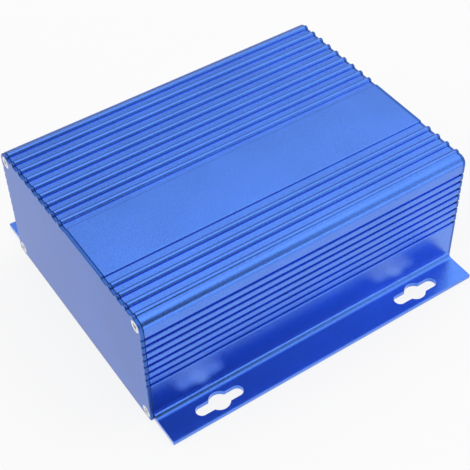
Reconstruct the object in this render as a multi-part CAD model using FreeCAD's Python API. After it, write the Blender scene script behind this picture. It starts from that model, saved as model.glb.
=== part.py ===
import FreeCAD, Part
import math
import os

os.makedirs("parts", exist_ok=True)

V = FreeCAD.Vector

# Extruded aluminium enclosure: one tube with wall-mount flanges, two end plates and eight screws.
# All sizes are in millimetres. X is across the case, Y is along the extrusion, Z is up.
# The origin is on the underside, in the middle of the case.

# The tube
tube_length = 145.4
body_width = 110.0
valley_height = 56.3      # top face between the ribs
side_wall = 3.0           # measured outside the side grooves
top_wall = 2.4            # measured below the valleys
bottom_wall = 2.5

# Rounded top corners
corner_radius = 3.4
corner_rise = 0.35        # how far the corners stand above the valleys
corner_land_left = 0.15   # flat between the rounded corner and the outermost rib
corner_land_right = 0.85

# Round ribs along the top
rib_rise = 1.2
rib_width = 2.7
rib_pitch = 5.6
ribs_left = 9
ribs_right = 4

# Plain raised band between the two groups of ribs
band_rise = 0.65
band_gap_left = 4.25      # from the last left rib to the band
band_gap_right = 4.8      # from the band to the first right rib
band_edge_radius = 0.5

# Narrow grooves along each side
groove_count = 8
groove_pitch = 3.81
groove_width = 1.3
groove_depth = 0.95
groove_lip_radius = 0.45
groove_drop = 7.83        # from the valleys down to the uppermost groove

# Mounting flanges
flange_width = 13.9
flange_thickness = 2.0
flange_root_radius = 2.6
flange_edge_radius = 0.3

# Keyholes in the flanges: a slot with a round opening in its middle that a screw head passes
keyhole_spacing = 96.5
keyhole_length = 21.0
keyhole_width = 5.0
keyhole_head_diameter = 8.8
keyhole_from_side = 7.7   # from the side of the body to the keyhole's axis
keyhole_root_land = 0.35  # flat kept between the flange root and the head opening

# Screws and the ports that they run in
screw_diameter = 3.0
screw_length = 10.0
head_diameter = 5.2
head_sunk = 0.05          # how far a head lies below the plate's face
recess_width = 0.7
recess_length = 2.7
recess_depth = 1.0
recess_turn = 45.0        # degrees, from upright
thread_clearance = 0.05   # all round, between the screw and its port
plate_hole_clearance = 0.2
seat_clearance = 0.03     # all round, between the head and its countersink
port_wall = 1.35
upper_screw_inset = 4.0   # from the side of the body
upper_screw_drop = 3.4    # below the valleys
lower_screw_inset = 3.4
lower_screw_height = 2.95

# Board guides inside the tube
lower_guide_height = 9.0
upper_guide_drop = 18.3   # from the valleys down to the upper guides
guide_slot = 1.8
guide_rail = 1.5
guide_depth = 2.5

# End plates
plate_thickness = 1.5
plate_setback = 0.12      # how far a plate's outline stays inside the tube's
plate_bottom_radius = 0.5
notch_width = 1.1         # small notches in a plate's sides, one at the end of each groove
notch_floor_width = 0.6
notch_depth = 0.55

# Cutting shapes run past the faces that they cut by this much
cut_past = 1.0

# Sizes that follow from the ones above
half_width = body_width / 2.0
half_length = tube_length / 2.0
corner_top = valley_height + corner_rise
crest = valley_height + rib_rise
band_top = valley_height + band_rise
rib_half = rib_width / 2.0
rib_radius = (rib_half ** 2 + rib_rise ** 2) / (2.0 * rib_rise)
rib_centre_height = crest - rib_radius
rib_corner_reach = math.sqrt(rib_radius ** 2 - (corner_top - rib_centre_height) ** 2)
first_rib = -half_width + corner_radius + corner_land_left + rib_corner_reach
last_rib = half_width - corner_radius - corner_land_right - rib_corner_reach
rib_places_left = [first_rib + rib_pitch * i for i in range(ribs_left)]
rib_places_right = [last_rib - rib_pitch * i for i in range(ribs_right)][::-1]
band_left = rib_places_left[-1] + band_gap_left
band_right = rib_places_right[0] - band_gap_right
groove_heights = [valley_height - groove_drop - groove_pitch * i for i in range(groove_count)]
guide_heights = (lower_guide_height, valley_height - upper_guide_drop)
shank_radius = screw_diameter / 2.0
port_radius = shank_radius + thread_clearance
boss_radius = port_radius + port_wall
head_radius = head_diameter / 2.0
head_height = head_radius - shank_radius
keyhole_x = half_width + keyhole_from_side
# The root fillet always ends short of the head opening
root_radius = min(flange_root_radius, keyhole_from_side - keyhole_head_diameter / 2.0 + keyhole_root_land)

screw_places = {
    "top_left": (-half_width + upper_screw_inset, valley_height - upper_screw_drop),
    "top_right": (half_width - upper_screw_inset, valley_height - upper_screw_drop),
    "bottom_left": (-half_width + lower_screw_inset, lower_screw_height),
    "bottom_right": (half_width - lower_screw_inset, lower_screw_height),
}


def at(x, z):
    return V(x, 0, z)


def line(a, b):
    return Part.LineSegment(at(*a), at(*b)).toShape()


def arc(a, middle, b):
    return Part.Arc(at(*a), at(*middle), at(*b)).toShape()


def quarter(centre, radius, start, end):
    """Arc about a centre between two angles in degrees, measured from X towards Z."""
    def on(angle):
        t = math.radians(angle)
        return (centre[0] + radius * math.cos(t), centre[1] + radius * math.sin(t))
    return arc(on(start), on((start + end) / 2.0), on(end))


def small_edge(centre, radius, start, end, inset):
    """Rounded edge on the tube. On the thin plates, which are cut inside its outline, it is a plain bevel."""
    rounded = quarter(centre, radius - inset, start, end)
    if inset == 0:
        return rounded
    first = rounded.Vertexes[0].Point
    last = rounded.Vertexes[-1].Point
    return line((first.x, first.z), (last.x, last.z))


def rib_edge_x(height, inset):
    """Half the rib's width at a height above the valleys."""
    return math.sqrt((rib_radius - inset) ** 2 - (valley_height + height - inset - rib_centre_height) ** 2)


def top_line(inset):
    """Ribs, valleys and the raised band, from the left corner to the right one."""
    edges = []
    corner_z = corner_top - inset
    valley_z = valley_height - inset
    foot = rib_edge_x(0.0, inset)
    reach = rib_edge_x(corner_rise, inset)
    here = (-half_width + corner_radius, corner_z)
    outer = (first_rib - reach, corner_z)
    edges.append(line(here, outer))
    for x in rib_places_left + rib_places_right:
        start = (x - foot, valley_z)
        end = (x + foot, valley_z)
        if x == rib_places_left[0]:
            start = outer
        elif x == rib_places_right[0]:
            edges += band_edges(here, start, inset)
        else:
            edges.append(line(here, start))
        if x == rib_places_right[-1]:
            end = (x + reach, corner_z)
        edges.append(arc(start, (x, crest - inset), end))
        here = end
    edges.append(line(here, (half_width - corner_radius, corner_z)))
    return edges


def band_edges(here, there, inset):
    """The raised band between the last rib on its left and the first on its right."""
    left = band_left + inset
    right = band_right - inset
    low = valley_height - inset
    high = band_top - inset
    r = band_edge_radius
    left_bend = band_left + r
    right_bend = band_right - r
    bend_z = band_top - r
    return [
        line(here, (left, low)),
        line((left, low), (left, bend_z)),
        small_edge((left_bend, bend_z), r, 180, 90, inset),
        line((left_bend, high), (right_bend, high)),
        small_edge((right_bend, bend_z), r, 90, 0, inset),
        line((right, bend_z), (right, low)),
        line((right, low), there),
    ]


def tube_side():
    """Right side of the tube, with its grooves and flange, down to the middle of the underside."""
    r = corner_radius
    edges = [quarter((half_width - r, corner_top - r), r, 90, 0)]
    here = (half_width, corner_top - r)
    lip = groove_lip_radius
    lip_x = half_width - lip
    floor_x = half_width - groove_depth
    for z in groove_heights:
        high = z + groove_width / 2.0
        low = z - groove_width / 2.0
        edges.append(line(here, (half_width, high + lip)))
        edges.append(quarter((lip_x, high + lip), lip, 0, -90))
        edges.append(line((lip_x, high), (floor_x, high)))
        edges.append(line((floor_x, high), (floor_x, low)))
        edges.append(line((floor_x, low), (lip_x, low)))
        edges.append(quarter((lip_x, low - lip), lip, 90, 0))
        here = (half_width, low - lip)
    e = flange_edge_radius
    tip = half_width + flange_width
    r = root_radius
    edges.append(line(here, (half_width, flange_thickness + r)))
    edges.append(quarter((half_width + r, flange_thickness + r), r, 180, 270))
    edges.append(line((half_width + r, flange_thickness), (tip - e, flange_thickness)))
    edges.append(quarter((tip - e, flange_thickness - e), e, 90, 0))
    edges.append(line((tip, flange_thickness - e), (tip, e)))
    edges.append(quarter((tip - e, e), e, 0, -90))
    edges.append(line((tip - e, 0), (0, 0)))
    return edges


def plate_side():
    """Right side of an end plate, which has small notches at the grooves and no flange."""
    r = corner_radius
    edges = [quarter((half_width - r, corner_top - r), r - plate_setback, 90, 0)]
    side_x = half_width - plate_setback
    here = (side_x, corner_top - r)
    floor_x = side_x - notch_depth
    mouth = notch_width / 2.0
    floor = notch_floor_width / 2.0
    for z in groove_heights:
        edges.append(line(here, (side_x, z + mouth)))
        edges.append(line((side_x, z + mouth), (floor_x, z + floor)))
        edges.append(line((floor_x, z + floor), (floor_x, z - floor)))
        edges.append(line((floor_x, z - floor), (side_x, z - mouth)))
        here = (side_x, z - mouth)
    r = plate_bottom_radius
    low = plate_setback
    edges.append(line(here, (side_x, r)))
    edges.append(small_edge((half_width - r, r), r, 0, -90, plate_setback))
    edges.append(line((half_width - r, low), (0, low)))
    return edges


def outline(top, side):
    """Closed face from a top line, a right side and its mirror image."""
    right = Part.Wire(Part.__sortEdges__(side))
    left = right.mirror(V(0, 0, 0), V(1, 0, 0))
    edges = top + right.Edges + left.Edges
    return Part.Face(Part.Wire(Part.__sortEdges__(edges)))


def along_y(face, start, length):
    body = face.extrude(V(0, length, 0))
    body.translate(V(0, start, 0))
    return body


def rod(x, z, radius, start, length):
    return Part.makeCylinder(radius, length, V(x, start, z), V(0, 1, 0))


def block(x0, x1, z0, z1, start, length):
    return Part.makeBox(x1 - x0, length, z1 - z0, V(x0, start, z0))


def bay():
    """The hollow inside the tube, less the screw ports and board guides that stand in it."""
    width = body_width - 2.0 * side_wall
    height = valley_height - top_wall - bottom_wall
    start = -half_length - cut_past
    length = tube_length + 2.0 * cut_past
    hollow = block(-width / 2.0, width / 2.0, bottom_wall, bottom_wall + height, start, length)
    keep = [rod(x, z, boss_radius, start, length) for x, z in screw_places.values()]
    for side in (-1, 1):
        wall = side * width / 2.0
        tip = wall - side * guide_depth
        for z in guide_heights:
            for low in (z - guide_slot / 2.0 - guide_rail, z + guide_slot / 2.0):
                x0 = min(tip, wall + side * cut_past)
                x1 = max(tip, wall + side * cut_past)
                keep.append(block(x0, x1, low, low + guide_rail, start, length))
    return hollow.cut(keep)


def keyhole(x, y):
    """Slot along Y with round ends, and a larger round opening in its middle."""
    r = keyhole_width / 2.0
    straight = keyhole_length / 2.0 - r
    low = -cut_past
    tall = flange_thickness + 2.0 * cut_past
    opening = Part.makeCylinder(keyhole_head_diameter / 2.0, tall, V(x, y, low))
    slot = Part.makeBox(keyhole_width, 2.0 * straight, tall, V(x - r, y - straight, low))
    ends = [Part.makeCylinder(r, tall, V(x, y + s * straight, low)) for s in (-1, 1)]
    return opening.fuse([slot] + ends)


def make_shell():
    tube = along_y(outline(top_line(0.0), tube_side()), -half_length, tube_length)
    tube = tube.cut(bay())
    start = -half_length - cut_past
    length = tube_length + 2.0 * cut_past
    ports = [rod(x, z, port_radius, start, length) for x, z in screw_places.values()]
    holes = [keyhole(sx * keyhole_x, sy * keyhole_spacing / 2.0) for sx in (-1, 1) for sy in (-1, 1)]
    return tube.cut(ports + holes)


def make_front_plate():
    """Plate against the front end of the tube, with countersunk holes."""
    outer = -half_length - plate_thickness
    plate = along_y(outline(top_line(plate_setback), plate_side()), outer, plate_thickness)
    hole = shank_radius + plate_hole_clearance
    mouth = head_radius + head_sunk + seat_clearance
    deep = mouth - shank_radius
    cuts = []
    for x, z in screw_places.values():
        cuts.append(rod(x, z, hole, outer - cut_past, plate_thickness + 2.0 * cut_past))
        cuts.append(Part.makeCone(mouth, shank_radius, deep, V(x, outer, z), V(0, 1, 0)))
    return plate.cut(cuts)


def make_front_screw(x, z):
    """Countersunk screw with a cross recess, its head just below the plate's face."""
    top = -half_length - plate_thickness + head_sunk
    cone = Part.makeCone(head_radius, shank_radius, head_height, V(x, top, z), V(0, 1, 0))
    shank = Part.makeCylinder(shank_radius, screw_length - head_height, V(x, top + head_height, z), V(0, 1, 0))
    screw = cone.fuse(shank)
    half = recess_length / 2.0
    w = recess_width / 2.0
    wing = Part.makePolygon([V(-half, 0, 0), V(half, 0, 0), V(w, recess_depth, 0), V(-w, recess_depth, 0),
                             V(-half, 0, 0)])
    wing = Part.Face(wing).extrude(V(0, 0, recess_width))
    wing.translate(V(x, top, z - w))
    crossed = wing.copy()
    crossed.rotate(V(x, top, z), V(0, 1, 0), 90)
    recess = wing.fuse(crossed)
    recess.rotate(V(x, top, z), V(0, 1, 0), recess_turn)
    return screw.cut(recess)


def at_rear(shape):
    return shape.mirror(V(0, 0, 0), V(0, 1, 0))


def write(name, shape):
    shape = shape.removeSplitter()
    if shape.ShapeType != "Solid":
        if len(shape.Solids) != 1:
            raise ValueError(name + " has " + str(len(shape.Solids)) + " solids")
        shape = shape.Solids[0]
    if not shape.isValid():
        raise ValueError(name + " is not valid")
    shape.exportStep("parts/" + name + ".step")


write("shell", make_shell())
front = make_front_plate()
write("front_plate", front)
write("rear_plate", at_rear(front))
for place, (px, pz) in screw_places.items():
    screw = make_front_screw(px, pz)
    write("screw_front_" + place, screw)
    write("screw_rear_" + place, at_rear(screw))
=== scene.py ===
import math

import bpy
from mathutils import Matrix, Vector

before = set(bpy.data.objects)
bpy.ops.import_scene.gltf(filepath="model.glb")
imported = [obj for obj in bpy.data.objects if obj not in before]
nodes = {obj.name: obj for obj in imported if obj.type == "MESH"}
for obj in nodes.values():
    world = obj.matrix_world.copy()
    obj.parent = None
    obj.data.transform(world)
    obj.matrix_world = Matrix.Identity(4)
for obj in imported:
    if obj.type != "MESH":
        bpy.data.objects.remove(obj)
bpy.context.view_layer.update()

# An extruded aluminium enclosure in blue anodising. The solids are all from the CAD frame, in metres. This
# script gives them their finishes, breaks the end plates' rims, and adds the studio and the camera.

shell = nodes["shell"]
plates = [nodes["front_plate"], nodes["rear_plate"]]
screws = [node for name, node in nodes.items() if name.startswith("screw_")]

# Colours are linear, as the shader takes them
DYE_BLUE = (0.072, 0.224, 0.84, 1.0)
PLATE_BLUE = (0.030, 0.140, 0.58, 1.0)
STEEL = (0.86, 0.86, 0.87, 1.0)
WHITE = (1.0, 1.0, 1.0, 1.0)

MM = 0.001
GRAIN_SIZE = 0.12 * MM             # the pits that blasting leaves
SPECK_SIZE = 0.60 * MM             # fine lighter and darker specks in the dye
SPECK_SHARE = 0.7                  # the specks' share of the dye's pattern, the clouds have the rest
CLOUD_SIZE = 25.0 * MM             # broad lighter and darker clouds in the dye
DYE_RANGE = (0.86, 1.14)           # the dye's darkest and lightest parts, as shares of its colour
OXIDE_IOR = 1.33                   # gives the clear oxide layer a faint gloss
ROUGHNESS_SPREAD = 0.03            # the grain makes a finish rougher or smoother by this much
LINE_SIZE = 0.8 * MM               # faint lines from the extrusion die
LINE_SCALE = (1.0, 0.01, 1.0)      # draws them out along Y, to a hundred times their width
WEAR_SIZE = 0.25 * MM              # fine marks on the screws' plating
WEAR_DEPTH = 0.004 * MM
STEEL_RANGE = (0.92, 1.08)         # the plating's darkest and lightest parts, as shares of its colour
STEEL_ROUGHNESS = (0.30, 0.42)
NOISE_RANGE = (0.3, 0.7)           # where most values of a noise lie
EDGE_ROUNDING = 0.10 * MM          # edges catch light as if broken by this much
EDGE_SAMPLES = 6
RECESS_SHADE_REACH = 1.2 * MM            # painted shade darkens the screws' colour in pockets narrower than this
SEAM_SHADE_REACH = 1.0 * MM              # painted shade in the same way for the plates' notches and their seam against the tube
POCKET_SHADE_SAMPLES = 8
PLATE_RIM = 0.28 * MM              # the plates' rims are broken by this much
RIM_ANGLE = math.radians(80.0)     # an edge is a rim when its faces turn by more than this
SAME_POINT = 0.001 * MM            # points nearer than this are one


# Materials

def new_material(name):
    material = bpy.data.materials.new(name)
    material.use_nodes = True
    tree = material.node_tree
    shader = next(n for n in tree.nodes if n.type == "BSDF_PRINCIPLED")
    return material, tree, shader


def object_points(tree, scale=(1.0, 1.0, 1.0)):
    """Object coordinates, scaled so that a pattern can be drawn out along one axis."""
    points = tree.nodes.new("ShaderNodeTexCoord")
    mapping = tree.nodes.new("ShaderNodeMapping")
    mapping.inputs["Scale"].default_value = scale
    tree.links.new(points.outputs["Object"], mapping.inputs["Vector"])
    return mapping.outputs["Vector"]


def noise(tree, points, size, detail=2.0):
    texture = tree.nodes.new("ShaderNodeTexNoise")
    texture.inputs["Scale"].default_value = 1.0 / size
    texture.inputs["Detail"].default_value = detail
    tree.links.new(points, texture.inputs["Vector"])
    return texture.outputs["Fac"]


def spread(tree, value, low, high):
    """Maps a noise from its usual range to a range of its own."""
    mapped = tree.nodes.new("ShaderNodeMapRange")
    mapped.inputs["From Min"].default_value = NOISE_RANGE[0]
    mapped.inputs["From Max"].default_value = NOISE_RANGE[1]
    mapped.inputs["To Min"].default_value = low
    mapped.inputs["To Max"].default_value = high
    tree.links.new(value, mapped.inputs["Value"])
    return mapped.outputs["Result"]


def blend(tree, first, second, share):
    """Two patterns mixed, the second by its share."""
    mix = tree.nodes.new("ShaderNodeMix")
    mix.inputs["Factor"].default_value = share
    tree.links.new(first, mix.inputs["A"])
    tree.links.new(second, mix.inputs["B"])
    return mix.outputs["Result"]


def bump(tree, height, depth, below):
    """The surface's direction below, roughened by a pattern of this depth."""
    node = tree.nodes.new("ShaderNodeBump")
    node.inputs["Strength"].default_value = 1.0
    node.inputs["Distance"].default_value = depth
    tree.links.new(height, node.inputs["Height"])
    tree.links.new(below, node.inputs["Normal"])
    return node.outputs["Normal"]


def rounded_edges(tree):
    """The surface's direction with every edge softened, which changes no mesh."""
    node = tree.nodes.new("ShaderNodeBevel")
    node.samples = EDGE_SAMPLES
    node.inputs["Radius"].default_value = EDGE_ROUNDING
    return node.outputs["Normal"]


def tinted(tree, colour, amount, low, high):
    """A colour made a little lighter and darker by a pattern."""
    mix = tree.nodes.new("ShaderNodeMix")
    mix.data_type = "RGBA"
    mix.inputs["A"].default_value = [c * low for c in colour[:3]] + [1.0]
    mix.inputs["B"].default_value = [min(c * high, 1.0) for c in colour[:3]] + [1.0]
    tree.links.new(amount, mix.inputs["Factor"])
    return mix.outputs["Result"]


def painted_pocket_shade(tree, colour, reach):
    """A colour with painted shade: darker in pockets narrower than the reach."""
    pocket = tree.nodes.new("ShaderNodeAmbientOcclusion")
    pocket.samples = POCKET_SHADE_SAMPLES
    pocket.inputs["Distance"].default_value = reach
    tree.links.new(colour, pocket.inputs["Color"])
    return pocket.outputs["Color"]


def anodised(name, colour, coat, roughness, grain_depth, line_depth, pocket_shade_reach=0.0):
    """Dyed, blasted aluminium under its clear oxide layer, with faint die lines along Y, and painted shade
    in its pockets when given a reach.
    """
    material, tree, shader = new_material(name)
    grain = noise(tree, object_points(tree), GRAIN_SIZE)
    lines = noise(tree, object_points(tree, LINE_SCALE), LINE_SIZE, detail=3.0)
    clouds = noise(tree, object_points(tree), CLOUD_SIZE, detail=1.0)
    specks = noise(tree, object_points(tree), SPECK_SIZE)
    shader.inputs["Metallic"].default_value = 1.0
    shader.inputs["Coat Weight"].default_value = coat
    shader.inputs["Coat IOR"].default_value = OXIDE_IOR
    shader.inputs["Coat Roughness"].default_value = roughness
    pattern = spread(tree, blend(tree, clouds, specks, SPECK_SHARE), 0.0, 1.0)
    base_colour = tinted(tree, colour, pattern, *DYE_RANGE)
    # painted shade: the dye is darkened in pockets narrower than the reach
    if pocket_shade_reach:
        base_colour = painted_pocket_shade(tree, base_colour, pocket_shade_reach)
    tree.links.new(base_colour, shader.inputs["Base Color"])
    uneven = spread(tree, grain, roughness - ROUGHNESS_SPREAD, roughness + ROUGHNESS_SPREAD)
    tree.links.new(uneven, shader.inputs["Roughness"])
    normal = rounded_edges(tree)
    normal = bump(tree, lines, line_depth, normal)
    normal = bump(tree, grain, grain_depth, normal)
    tree.links.new(normal, shader.inputs["Normal"])
    tree.links.new(normal, shader.inputs["Coat Normal"])
    return material


def plated_steel(name, colour):
    """Bright plating with fine marks, and painted shade that darkens it in the screws' recesses."""
    material, tree, shader = new_material(name)
    wear = noise(tree, object_points(tree), WEAR_SIZE, detail=3.0)
    shader.inputs["Metallic"].default_value = 1.0
    metal = tinted(tree, colour, spread(tree, wear, 0.0, 1.0), *STEEL_RANGE)
    # painted shade darkens the plating in the screws' recesses
    tree.links.new(painted_pocket_shade(tree, metal, RECESS_SHADE_REACH), shader.inputs["Base Color"])
    tree.links.new(spread(tree, wear, *STEEL_ROUGHNESS), shader.inputs["Roughness"])
    normal = bump(tree, wear, WEAR_DEPTH, rounded_edges(tree))
    tree.links.new(normal, shader.inputs["Normal"])
    return material


def finish(node, material):
    node.data.materials.clear()
    node.data.materials.append(material)


def break_rim(plate):
    """Cuts a small bevel along the sharp rims of a plate, once its points are joined."""
    weld = plate.modifiers.new("weld", "WELD")
    weld.merge_threshold = SAME_POINT
    bevel = plate.modifiers.new("rim", "BEVEL")
    bevel.limit_method = "ANGLE"
    bevel.angle_limit = RIM_ANGLE
    bevel.width = PLATE_RIM
    bevel.segments = 1
    bevel.use_clamp_overlap = False
    bevel.loop_slide = False
    bevel.harden_normals = True


shell_blue = anodised("blue anodised", DYE_BLUE, coat=1.0, roughness=0.18,
                      grain_depth=0.034 * MM, line_depth=0.002 * MM)
# the plates' colour has painted shade in their notches and at their seam against the tube
plate_blue = anodised("matte blue anodised", PLATE_BLUE, coat=0.8, roughness=0.40,
                      grain_depth=0.005 * MM, line_depth=0.0005 * MM, pocket_shade_reach=SEAM_SHADE_REACH)
steel = plated_steel("plated steel", STEEL)

finish(shell, shell_blue)
for plate in plates:
    finish(plate, plate_blue)
    break_rim(plate)
for screw in screws:
    finish(screw, steel)


# Studio

FLOOR_HALF = 4.0
FLOOR_DROP = 0.1 * MM              # keeps the floor clear of the case's underside
FLOOR_WHITE = (0.95, 0.95, 0.95, 1.0)
FLOOR_ROUGHNESS = 0.9
FLOOR_GLOW = 0.84                  # how much of the floor's look is plain white, the rest shows the shadow

# How bright the studio is around the length of the case. The angles are in degrees about Y: 0 is the horizon
# on the right, 90 is straight up and 180 is the horizon on the left.
WALL_LEVELS = [
    (-180, 0.60),
    (-90, 1.00),
    (0, 1.00),
    (9, 0.90),
    (22, 0.10),
    (58, 0.08),
    (74, 1.08),
    (92, 1.18),
    (112, 1.28),
    (126, 1.33),
    (134, 0.96),
    (139, 0.45),
    (156, 0.35),
    (180, 0.60),
]


def seen_directly(tree):
    """1 for rays that show the background: from the camera, in a reflection or through glass."""
    path = tree.nodes.new("ShaderNodeLightPath")
    either = tree.nodes.new("ShaderNodeMath")
    either.operation = "MAXIMUM"
    any_of_three = tree.nodes.new("ShaderNodeMath")
    any_of_three.operation = "MAXIMUM"
    tree.links.new(path.outputs["Is Camera Ray"], either.inputs[0])
    tree.links.new(path.outputs["Is Glossy Ray"], either.inputs[1])
    tree.links.new(either.outputs[0], any_of_three.inputs[0])
    tree.links.new(path.outputs["Is Transmission Ray"], any_of_three.inputs[1])
    return any_of_three.outputs[0]


def pale_floor():
    """Matte white that shows the case's shadow, mixed with plain white where it is the background."""
    material, tree, shader = new_material("pale floor")
    shader.inputs["Base Color"].default_value = FLOOR_WHITE
    shader.inputs["Roughness"].default_value = FLOOR_ROUGHNESS
    shader.inputs["Specular IOR Level"].default_value = 0.0
    glow = tree.nodes.new("ShaderNodeEmission")
    mix = tree.nodes.new("ShaderNodeMixShader")
    share = tree.nodes.new("ShaderNodeMath")
    share.operation = "MULTIPLY"
    share.inputs[1].default_value = FLOOR_GLOW
    output = next(n for n in tree.nodes if n.type == "OUTPUT_MATERIAL")
    tree.links.new(seen_directly(tree), share.inputs[0])
    tree.links.new(share.outputs[0], mix.inputs["Fac"])
    tree.links.new(shader.outputs["BSDF"], mix.inputs[1])
    tree.links.new(glow.outputs["Emission"], mix.inputs[2])
    tree.links.new(mix.outputs["Shader"], output.inputs["Surface"])
    return material


def make_floor():
    mesh = bpy.data.meshes.new("floor")
    corners = [(-FLOOR_HALF, -FLOOR_HALF, 0), (FLOOR_HALF, -FLOOR_HALF, 0),
               (FLOOR_HALF, FLOOR_HALF, 0), (-FLOOR_HALF, FLOOR_HALF, 0)]
    mesh.from_pydata(corners, [], [(0, 1, 2, 3)])
    floor = bpy.data.objects.new("floor", mesh)
    bpy.context.scene.collection.objects.link(floor)
    floor.location.z = -FLOOR_DROP
    finish(floor, pale_floor())


def ramp_position(angle):
    """Where an angle from -180 to 180 degrees lies on a ramp from 0 to 1."""
    return (angle + 180.0) / 360.0


def make_world():
    """The studio's walls as reflections and light, and plain white where the camera sees them."""
    world = bpy.data.worlds.new("studio")
    bpy.context.scene.world = world
    world.use_nodes = True
    tree = world.node_tree
    walls = next(n for n in tree.nodes if n.type == "BACKGROUND")
    output = next(n for n in tree.nodes if n.type == "OUTPUT_WORLD")
    direction = tree.nodes.new("ShaderNodeTexCoord")
    split = tree.nodes.new("ShaderNodeSeparateXYZ")
    around = tree.nodes.new("ShaderNodeMath")
    around.operation = "ARCTAN2"
    place_on_ramp = tree.nodes.new("ShaderNodeMapRange")
    place_on_ramp.inputs["From Min"].default_value = -math.pi
    place_on_ramp.inputs["From Max"].default_value = math.pi
    ramp = tree.nodes.new("ShaderNodeValToRGB")
    stops = ramp.color_ramp.elements
    for angle, _ in WALL_LEVELS[1:-1]:
        stops.new(ramp_position(angle))
    for stop, (angle, level) in zip(stops, WALL_LEVELS):
        stop.position = ramp_position(angle)
        stop.color = (level, level, level, 1.0)
    tree.links.new(direction.outputs["Generated"], split.inputs[0])
    tree.links.new(split.outputs["Z"], around.inputs[0])
    tree.links.new(split.outputs["X"], around.inputs[1])
    tree.links.new(around.outputs[0], place_on_ramp.inputs["Value"])
    tree.links.new(place_on_ramp.outputs["Result"], ramp.inputs["Fac"])
    tree.links.new(ramp.outputs["Color"], walls.inputs["Color"])
    white = tree.nodes.new("ShaderNodeBackground")
    white.inputs["Color"].default_value = WHITE
    path = tree.nodes.new("ShaderNodeLightPath")
    mix = tree.nodes.new("ShaderNodeMixShader")
    tree.links.new(path.outputs["Is Camera Ray"], mix.inputs["Fac"])
    tree.links.new(walls.outputs["Background"], mix.inputs[1])
    tree.links.new(white.outputs["Background"], mix.inputs[2])
    tree.links.new(mix.outputs["Shader"], output.inputs["Surface"])


def softbox(name, place, aim, width, depth, level):
    """Rectangular lamp that looks, in a reflection, as bright as its level."""
    lamp = bpy.data.lights.new(name, "AREA")
    lamp.shape = "RECTANGLE"
    lamp.size = width
    lamp.size_y = depth
    lamp.energy = level * math.pi * width * depth
    box = bpy.data.objects.new(name, lamp)
    bpy.context.scene.collection.objects.link(box)
    box.location = place
    box.rotation_euler = (Vector(aim) - Vector(place)).to_track_quat("-Z", "Y").to_euler()


make_floor()
make_world()
softbox("overhead", place=(0.0, 0.30, 1.20), aim=(0.0, 0.0, 0.0), width=1.0, depth=1.2, level=0.12)
softbox("back right", place=(0.86, 1.06, 0.77), aim=(0.0, 0.0, 0.05), width=1.2, depth=1.2, level=0.80)
softbox("low right", place=(1.30, 0.45, 0.13), aim=(0.0, 0.0, 0.10), width=1.4, depth=0.24, level=1.0)


# Camera, matched to the photograph

AZIMUTH = math.radians(58.045)     # from the front round to the right
ELEVATION = math.radians(46.579)
ROLL = math.radians(-2.137)
EYE = (0.27901, -0.17868, 0.35911)
FRAME_PIXELS = 470.0
FOCAL_PIXELS = 1134.9
CENTRE_X = 223.6                   # where the lens axis meets the frame, in pixels
CENTRE_Y = 237.6
SENSOR = 36.0                      # millimetres
CLIP_START = 0.01


def make_camera():
    data = bpy.data.cameras.new("camera")
    camera = bpy.data.objects.new("camera", data)
    bpy.context.scene.collection.objects.link(camera)
    data.sensor_width = SENSOR
    data.lens = FOCAL_PIXELS / FRAME_PIXELS * SENSOR
    data.shift_x = (FRAME_PIXELS / 2.0 - CENTRE_X) / FRAME_PIXELS
    data.shift_y = (CENTRE_Y - FRAME_PIXELS / 2.0) / FRAME_PIXELS
    data.clip_start = CLIP_START
    back = Vector((math.sin(AZIMUTH) * math.cos(ELEVATION),
                   -math.cos(AZIMUTH) * math.cos(ELEVATION),
                   math.sin(ELEVATION)))
    level_right = Vector((math.cos(AZIMUTH), math.sin(AZIMUTH), 0.0))
    right = Matrix.Rotation(ROLL, 3, back) @ level_right
    up = back.cross(right)
    turn = Matrix((right, up, back)).transposed()
    camera.matrix_world = Matrix.Translation(EYE) @ turn.to_4x4()
    bpy.context.scene.camera = camera


make_camera()
bpy.context.scene.view_settings.view_transform = "Standard"
